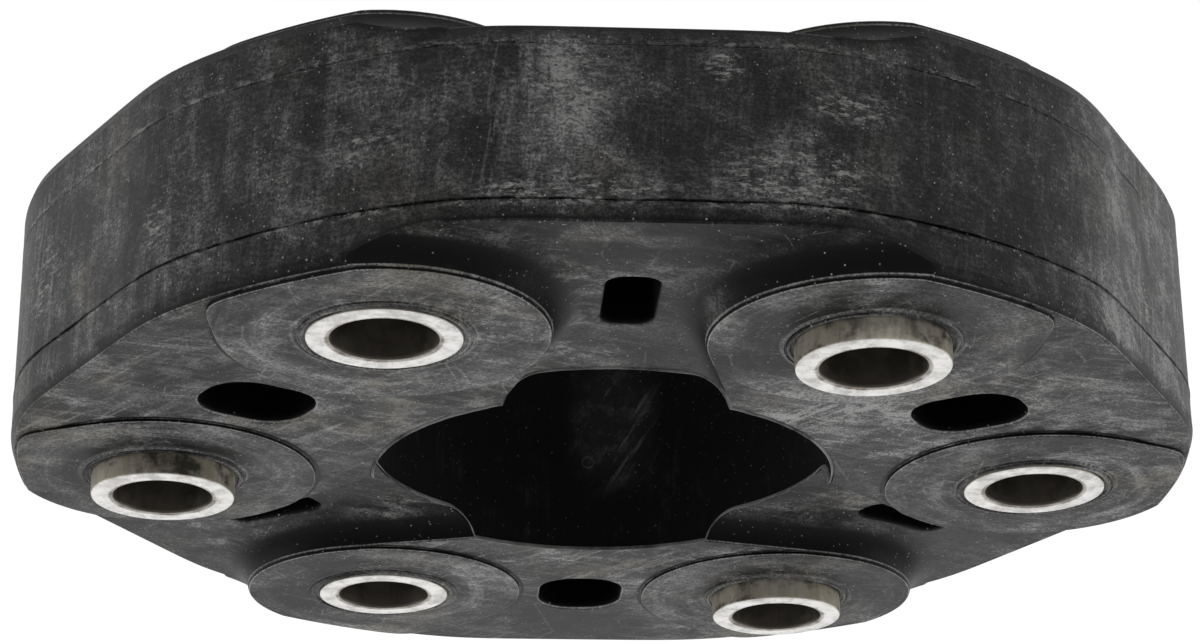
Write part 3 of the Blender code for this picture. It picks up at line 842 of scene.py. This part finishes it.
def rubber_finish(context):
    """Black rubber with a dusty film, scuffs, wipe marks and fine grain, and painted sheen, highlights and
    shade.
    """
    if "black_rubber" in bpy.data.materials:
        return bpy.data.materials["black_rubber"]
    colours = context.scene.coupling_finish
    finish = Finish("black_rubber")
    radius, angle = polar(finish)
    turned = angle * math.degrees(1)
    height = finish.z.math("ABSOLUTE")
    fillet, web_z, face_z = RECESS_FILLET / MM, WEB / MM, FACE / MM
    hole_edge, parting = CENTRE_HOLE / MM, context.scene.coupling_shape.parting_height / MM

    # Zones of the moulding
    hole_x, hole_y = sector_place(radius, angle, 0.5)
    across, about = sleeve_place(radius, angle)
    over_web = (angle * 3.0).math("SINE").ramp(-0.02, 0.02)
    reach = (1 - (across - RECESS_ROUND / MM) / fillet).clamp()
    recessed = web_z + fillet - fillet * (1 - reach * reach).math("SQRT")
    top = (face_z - 20.0 * over_web).math("MAXIMUM", recessed).math("MINIMUM", face_z)
    below = top - height
    face = 1 - below.ramp(0.06, 0.26)
    pad = height.ramp(face_z - 0.2, face_z - 0.04)
    boss = height.ramp(face_z + 0.3, face_z + 0.45)
    hole = 1 - radius.ramp(hole_edge + 0.02, hole_edge + 0.1)
    floor = face * (1 - height.ramp(web_z + 0.1, web_z + 0.9)) * (1 - hole)
    slope = face * (1 - floor) * (1 - pad) * (1 - hole)
    wall = radius.ramp(70.9, 71.5) * (1 - face)
    # The steep bevel gets almost no film below, so that it stays dark: painted shade along the band.
    bevel = wall * (1 - below.ramp(0.3, 2.1))
    lip = boss * across.ramp(9.0, 9.1) * (1 - across.ramp(10.5, 10.9))
    off_sleeve = 1 - across.near(SLEEVE_RADIUS / MM + 0.5, 1.6).ramp(0.0, 0.1)
    # The riser of a boss gets no film and is darkened below: a painted shadow along the step.
    riser = height.ramp(face_z + 0.02, face_z + 0.08) * (1 - height.ramp(face_z + 0.25, face_z + 0.36))
    riser = riser * off_sleeve
    # The foot of a boss loses its film and is darkened below: painted shade where the boss meets the face.
    foot = across.near(BOSS_RADIUS / MM + 0.3, 0.42) * pad * (1 - boss)
    # Inside the moulded holes the film is taken away and the colour darkened below: painted shade in the
    # holes.
    pit = (1 - (hole_x - HOLE_CENTRE / MM).math("ABSOLUTE").ramp(7.5, 7.8)) * below.ramp(0.3, 1.2)
    pit = pit * (1 - hole_y.math("ABSOLUTE").ramp(6.3, 6.6))

    # Patterns
    upright = finish.point(angle * 72.0, finish.z, radius * 0.1)
    rings = finish.point(across, about * 3.0, turned)
    broad = finish.veil(0.35, 0.68, 24.0, 2.0, 0.5)
    patch = finish.veil(0.47, 0.65, 5.0, 5.0, 0.78, shift=31.0)
    grit = finish.veil(0.32, 0.68, 0.34, 2.0, 0.8)
    streak = finish.veil(0.48, 0.68, 6.0, 5.0, 0.72, place=upright, stretch=(2.4, 0.3, 1.0))
    first_wipe = finish.veil(0.50, 0.66, 3.6, 5.0, 0.78, stretch=(0.3, 2.4, 1.0), turned=24.0)
    second_wipe = finish.veil(0.52, 0.68, 3.2, 5.0, 0.78, stretch=(0.3, 2.6, 1.0), turned=-35.0,
                              shift=53.0)
    swirl = finish.veil(0.48, 0.66, 2.6, 4.0, 0.74, place=rings, stretch=(1.0, 0.4, 0.05))
    groove = finish.veil(0.4, 0.6, 0.5, 2.0, 0.6, place=rings, stretch=(1.0, 0.1, 0.01))
    soft = finish.veil(0.38, 0.62, 9.0, 3.0, 0.6, shift=61.0)
    slant = finish.veil(0.52, 0.66, 5.0, 5.0, 0.76, place=upright, stretch=(0.3, 1.7, 1.0),
                        turned=31.0, shift=19.0)
    dash = finish.veil(0.42, 0.62, 0.8, 3.0, 0.75, place=upright, stretch=(0.5, 1.8, 1.0))
    stroke = finish.veil(0.56, 0.62, 2.4, 4.0, 0.66, stretch=(0.14, 1.4, 1.0), turned=-51.0, shift=37.0)
    across_it = finish.veil(0.57, 0.62, 2.0, 4.0, 0.66, stretch=(0.14, 1.5, 1.0), turned=12.0, shift=71.0)
    strokes = stroke * broad + across_it * soft
    scrape = finish.veil(0.56, 0.63, 1.3, 3.0, 0.6, place=upright, stretch=(1.5, 0.14, 1.0),
                         turned=8.0, shift=22.0)
    scratch = finish.scratches(9.0, 0.014, 12.0) + finish.scratches(14.0, 0.010, 47.0)

    # How dusty each zone is, with painted sheen, highlights and shade among the film
    # Film round the rim: dust, with a painted sheen band near -150 degrees.
    rim_dust_and_sheen = 0.17
    for at, wide, strength in RIM_DUST_AND_SHEEN:
        rim_dust_and_sheen = rim_dust_and_sheen + strength * turned.near(at, wide)
    wall_dust_and_sheen = wall * (1 - 0.9 * bevel) * rim_dust_and_sheen * (0.5 + 0.8 * streak + 0.8 * patch + 0.8 * slant)
    scraped = 0.15
    for at, wide, strength in RIM_SCRAPES:
        scraped = scraped + strength * turned.near(at, wide)
    wall_dust_and_sheen = wall_dust_and_sheen * (0.7 + 0.6 * dash) * (0.65 + 0.9 * soft)
    wall_dust_and_sheen = wall_dust_and_sheen + wall * (1 - bevel) * scrape * scraped * 0.3
    wall_dust_and_sheen = wall_dust_and_sheen + wall * below.near(0.8, 0.5) * (0.02 + 0.05 * patch)
    plain_film = 0.05 + 0.3 * first_wipe + 0.3 * second_wipe + 0.5 * patch + 0.5 * strokes + 0.15 * soft
    plain_film = (1 - boss) * plain_film * (0.8 + 1.5 * turned.near(-150.0, 30.0))
    boss_film = boss * (0.05 + 0.40 * swirl * across.ramp(9.5, 13.0) + 0.32 * patch + 0.2 * first_wipe)
    boss_film = boss_film + boss * across.ramp(11.0, 16.0) * (0.02 + 0.36 * soft)
    wiped = 0.4 * turned.near(0.0, 40.0) + 0.3 * turned.near(118.0, 35.0)
    boss_film = (boss_film + boss * 0.25 * strokes) * (1 - wiped)
    pad_film = pad * (0.18 + 0.8 * broad) * (plain_film + boss_film) * (1 - foot) + lip * 0.35 * groove
    # Thin pale lines along the rounded boss edges and face edges: partly wear, partly painted highlight
    # where the edges catch the light.
    edge_line = height.near(face_z + 0.4, 0.075) * off_sleeve + height.near(face_z - 0.17, 0.14)
    placed = 0.0
    for x, y, wide, deep, strength in FACE_PATCHES:
        placed = placed + (finish.x.near(x, wide) * finish.y.near(y, deep) * 2.5).clamp() * strength
    placed = placed * face * finish.z.ramp(0.0, 1.0) * (0.2 + 0.6 * patch + 0.5 * first_wipe)
    edge_wear_and_highlight = edge_line * (1 - wall) * (1 - hole) * (0.6 + 0.6 * patch + 0.2 * dash)
    floor_film = 0.02 + 0.4 * broad * patch + 0.35 * first_wipe * broad + 0.08 * soft + 0.05 * strokes
    near_rim = turned.near(-90.0, 30.0) * radius.ramp(56.0, 65.0)
    floor_film = floor * floor_film * (1 - 0.9 * near_rim)
    # The recess slopes get almost no film, so that they stay dark: painted shade in the hollows.
    slope_film = slope * (0.001 + 0.03 * patch * broad * first_wipe)
    # The film is dust, with the painted sheen of the rim and the painted highlights along edges added in.
    film = wall_dust_and_sheen + pad_film + floor_film + slope_film + edge_wear_and_highlight + placed.clamp() * 0.6
    film = film + scratch * 0.3 * (pad + 0.6 * floor)
    film = film * (0.35 + 1.3 * grit) * (1 - pit) * (1 - hole) * (1 - riser)
    swept = (turned.near(97.0, 15.0) * finish.z.near(-4.0, 13.0) * 1.6).clamp()
    swept = swept * (0.2 * patch + 0.6 * slant + 0.10)
    film = film + hole * (0.014 + 0.06 * patch * streak + 0.9 * swept)
    film = film + 0.16 * (1 - radius.ramp(hole_edge - 0.2, hole_edge - 0.06))

    # Scuffs, specks, painted shade and the colour
    scuff = 0.0
    for at, level_at, wide, tall, strength in RIM_SCUFFS:
        scuff = scuff + turned.near(at, wide) * finish.z.near(level_at, tall) * strength
    flecks = finish.veil(0.49, 0.58, 1.4, 4.0, 0.85, place=upright, stretch=(0.7, 1.6, 1.0), shift=8.0)
    scuff = (scuff * 3.0).clamp() * wall * flecks * (0.35 + 1.0 * dash)
    crack = wall * height.near(parting + 0.3, 0.75) * flecks
    crack = crack * finish.veil(0.42, 0.58, 8.0, 3.0, 0.6, shift=15.0)
    speck = finish.specks(1.5, 0.085) * finish.veil(0.38, 0.54, 9.0, 2.0, 0.5, shift=77.0)
    fine_speck = finish.specks(0.9, 0.13) * finish.veil(0.42, 0.56, 5.0, 3.0, 0.6, shift=90.0)
    pale = (speck + fine_speck * 0.6 + crack * 0.5 + scuff * 0.7) * (1 - pit) * (1 - 0.7 * hole)
    colour = finish.mix(film.clamp(), colours.rubber, colours.dust)
    tinged = broad * finish.veil(0.52, 0.62, 14.0, 3.0, 0.6, shift=25.0)
    colour = finish.mix(tinged * film.clamp() * 0.6, colour, (0.22, 0.185, 0.12))
    # The parting crack is darkened below: painted shade in the crease, over the crack's real groove.
    ragged = finish.veil(0.4, 0.6, 3.0, 4.0, 0.7, shift=4.0)
    cracked = wall * finish.z.near(parting, 0.4) * (0.5 + 0.5 * ragged)
    # Painted shade: the moulded holes, the centre hole, the bosses' risers and feet and the parting crack
    # are darkened.
    painted_shade = pit + hole * 0.4 + riser * 0.5 + foot * 0.5 + cracked * 0.9
    colour = finish.mix(painted_shade.clamp(), colour, (0.0015, 0.0015, 0.0017))
    colour = finish.mix(pale.clamp(), colour, colours.speck)
    relief = grit * 0.5 + finish.noise(2.2, 2.0, 0.5) * 0.8
    rough = 0.44 + 0.4 * film + 0.5 * (pit + hole)
    finish.set(Base_Color=colour, Roughness=rough.clamp(), Normal=finish.bump(relief, 0.4, 0.0001),
               Specular_IOR_Level=0.10)
    return finish.material


def flash_finish(context):
    """The thin flash of the same rubber, worn pale along most of its edge; the pale also paints the
    highlight along its crest.
    """
    colours = context.scene.coupling_finish
    finish = Finish("worn_and_lit_flash")
    worn = finish.veil(0.32, 0.62, 6.0, 5.0, 0.7)
    # The pale flash is partly wear and partly a painted highlight along the thin crest.
    colour = finish.mix(0.15 + 0.7 * worn, colours.rubber, colours.dust)
    finish.set(Base_Color=colour, Roughness=0.55 + 0.2 * worn, Specular_IOR_Level=0.15,
               Normal=finish.bump(finish.noise(0.4, 3.0, 0.7), 0.3, 0.0001))
    return finish.material


def steel_finish(context):
    """Turned steel: bright scored ends, and sides with a brown film."""
    colours = context.scene.coupling_finish
    finish = Finish("turned_steel")
    radius, angle = polar(finish)
    across, about = sleeve_place(radius, angle)
    outer, inner = SLEEVE_RADIUS / MM, BORE_RADIUS / MM
    side = across.ramp(outer - 0.15, outer - 0.03)
    bore = 1 - across.ramp(inner + 0.1, inner + 0.5)
    scored = finish.noise(1.0, 3.0, 0.6, place=finish.point(across * 14.0, about * 2.5, angle))
    smudge = finish.veil(0.40, 0.66, 2.6, 6.0, 0.75)
    upright = finish.point(about * 9.0, finish.z, angle * 7.0)
    run = finish.veil(0.36, 0.66, 1.6, 5.0, 0.7, place=upright, stretch=(1.6, 0.35, 1.0))
    dirt = finish.veil(0.46, 0.62, 5.0, 4.0, 0.66, place=upright, shift=9.0)
    colour = finish.mix(smudge * 0.75, colours.steel, (0.52, 0.50, 0.475))
    colour = finish.mix((side * (0.66 + 0.34 * run)).clamp(), colour, colours.stain)
    # A paler upright streak on the sides of the two sleeves near x = -27.5 mm, where the side lies within
    # a few millimetres of that x.
    pale_streak = side * (1 - (finish.x + 27.5).math("ABSOLUTE").ramp(2.0, 5.0)) * (0.5 + 0.5 * run)
    colour = finish.mix(pale_streak * 0.95, colour, (0.90, 0.85, 0.73))
    colour = finish.mix(side * dirt * 0.8 * (1 - 0.7 * pale_streak), colour, (0.03, 0.025, 0.018))
    colour = finish.mix(bore * 0.95, colour, (0.20, 0.18, 0.15))
    rim = across.near(inner + 0.45, 0.35) * (0.45 + 0.5 * smudge)
    colour = finish.mix(rim.clamp(), colour, (0.14, 0.10, 0.065))
    colour = finish.mix(across.near(outer - 0.1, 0.12) * (1 - side) * 0.5, colour, (0.80, 0.77, 0.70))
    rough = (0.36 + 0.16 * scored + 0.15 * smudge + 0.15 * side).clamp()
    finish.set(Base_Color=colour, Roughness=rough, Metallic=1.0,
               Normal=finish.bump(scored, 0.3, 0.00006))
    return finish.material


def cord_finish(context):
    """Cord wound in many turns."""
    colours = context.scene.coupling_finish
    finish = Finish("wound_cord")
    strands = finish.node("ShaderNodeTexWave", {"wave_type": "BANDS", "bands_direction": "Z"}, {
        "Vector": finish.mm, "Scale": 0.55, "Distortion": 0.6, "Detail": 2.0}, "Fac")
    fibre = finish.noise(0.4, 3.0, 0.6)
    colour = finish.mix((strands * 0.6 + fibre * 0.4).clamp(), (0.30, 0.26, 0.18), colours.cord)
    finish.set(Base_Color=colour, Roughness=0.85, Normal=finish.bump(strands, 0.6, 0.0002))
    return finish.material


def collar_finish(context):
    """Plain pressed steel."""
    finish = Finish("pressed_steel")
    mottle = finish.noise(1.6, 4.0, 0.6)
    colour = finish.mix(mottle.ramp(0.35, 0.7), (0.30, 0.30, 0.31), (0.46, 0.46, 0.47))
    finish.set(Base_Color=colour, Roughness=0.4 + 0.2 * mottle, Metallic=1.0,
               Normal=finish.bump(mottle, 0.2, 0.0001))
    return finish.material


class COUPLING_OT_studio(bpy.types.Operator):
    """Make the pale floor, the soft lamps, the plain world and the camera"""

    bl_idname = "coupling.studio"
    bl_label = "Studio"

    def execute(self, context):
        studio = context.scene.coupling_studio
        self.floor()
        self.lamp("back_lamp", (0.0, 0.95, 0.40), (1.7, 0.9), studio.back_power)
        self.lamp("top_lamp", (-0.05, 0.35, 1.25), (2.4, 1.8), studio.top_power)
        self.lamp("left_lamp", (0.8, 0.10, 0.15), (0.5, 0.4), studio.side_power)
        self.lamp("right_lamp", (-0.8, 0.10, 0.15), (0.5, 0.4), studio.side_power)
        self.world(context, studio.world_level)
        self.camera(context)
        context.scene.view_settings.view_transform = "Standard"
        return {"FINISHED"}

    def floor(self):
        """A wide pale floor that is white to the camera and keeps the shadow."""
        shape = bmesh.new()
        bmesh.ops.create_grid(shape, x_segments=1, y_segments=1, size=6.0)
        bmesh.ops.translate(shape, verts=shape.verts, vec=(0.0, 0.0, CAD_BOX[0][2]))
        floor = new_object("studio_floor", mesh_of(shape, "studio_floor"))
        finish = Finish("pale_floor")
        finish.set(Base_Color=(0.80, 0.80, 0.80), Roughness=0.9, Specular_IOR_Level=0.1)
        direct, glossy, through = [finish.node("ShaderNodeLightPath", {}, {}, f"Is {kind} Ray")
                                   for kind in ("Camera", "Glossy", "Transmission")]
        seen = (direct + glossy + through).clamp()
        white = finish.node("ShaderNodeEmission", {}, {"Color": (1.0, 1.0, 1.0), "Strength": 1.08})
        matt = Flow(finish, finish.shader.outputs[0])
        blend = finish.node("ShaderNodeMixShader", {}, {0: seen * 0.94, 1: matt, 2: white})
        finish.tree.links.new(blend.socket, finish.tree.nodes["Material Output"].inputs["Surface"])
        floor.data.materials.append(finish.material)

    def lamp(self, name, place, size, power):
        """A soft oblong lamp that faces the disc."""
        light = bpy.data.lights.new(name, "AREA")
        light.shape = "RECTANGLE"
        light.size, light.size_y = size
        light.energy = power
        item = bpy.data.objects.new(name, light)
        item.location = place
        item.rotation_euler = (-Vector(place)).to_track_quat("-Z", "Y").to_euler()
        bpy.context.scene.collection.objects.link(item)

    def world(self, context, strength):
        """Plain light from all round."""
        world = bpy.data.worlds.new("studio_world")
        context.scene.world = world
        world.use_nodes = True
        background = world.node_tree.nodes["Background"]
        background.inputs["Color"].default_value = (1.0, 1.0, 1.0, 1.0)
        background.inputs["Strength"].default_value = strength

    def camera(self, context):
        """The photograph's view: from a little above the upper face, with the picture upside down."""
        rise, swing, roll = [math.radians(angle) for angle in CAMERA_ANGLES]
        right = Vector((math.cos(swing), math.sin(swing), 0.0))
        back = Vector((right.y * math.cos(rise), -right.x * math.cos(rise), math.sin(rise)))
        up = back.cross(right)
        right, up = (right * math.cos(roll) + up * math.sin(roll),
                     up * math.cos(roll) - right * math.sin(roll))
        place = Vector((0.0, 0.0, FACE))
        for way, distance in zip((back, right, up), CAMERA_PLACE):
            place += way * distance
        data = bpy.data.cameras.new("photo_camera")
        data.lens = CAMERA_LENS
        data.sensor_width = 36.0
        data.clip_start = 0.01
        camera = bpy.data.objects.new("photo_camera", data)
        axes = Matrix((-right, -up, back)).transposed()
        camera.matrix_world = Matrix.Translation(place) @ axes.to_4x4()
        context.scene.collection.objects.link(camera)
        context.scene.camera = camera


class COUPLING_PT_panel(bpy.types.Panel):
    """Lists the coupling's sizes, colours, lamps and operators"""

    bl_idname = "COUPLING_PT_panel"
    bl_label = "Flexible Disc Coupling"
    bl_space_type = "VIEW_3D"
    bl_region_type = "UI"
    bl_category = "Coupling"

    def draw(self, context):
        layout = self.layout
        for group, settings in SETTINGS.items():
            box = layout.box()
            for name in settings.__annotations__:
                box.prop(getattr(context.scene, group), name)
        for operator in OPERATORS:
            layout.operator(operator.bl_idname)


SETTINGS = {"coupling_shape": CouplingShape, "coupling_finish": CouplingFinish,
            "coupling_studio": CouplingStudio}
OPERATORS = (COUPLING_OT_rubber, COUPLING_OT_sleeves, COUPLING_OT_flash, COUPLING_OT_inner_parts,
             COUPLING_OT_studio)
CLASSES = (*SETTINGS.values(), *OPERATORS, COUPLING_PT_panel)


def register():
    """Register the settings, the operators and the panel."""
    for item in CLASSES:
        bpy.utils.register_class(item)
    for name, settings in SETTINGS.items():
        setattr(bpy.types.Scene, name, PointerProperty(type=settings))


def unregister():
    """Take the settings, the operators and the panel out again."""
    for name in SETTINGS:
        delattr(bpy.types.Scene, name)
    for item in reversed(CLASSES):
        bpy.utils.unregister_class(item)


def main():
    """Register the settings, the operators and the panel, and make everything."""
    register()
    bpy.ops.coupling.rubber()
    bpy.ops.coupling.sleeves()
    bpy.ops.coupling.flash()
    bpy.ops.coupling.inner_parts()
    bpy.ops.coupling.studio()


if __name__ == "__main__":
    main()
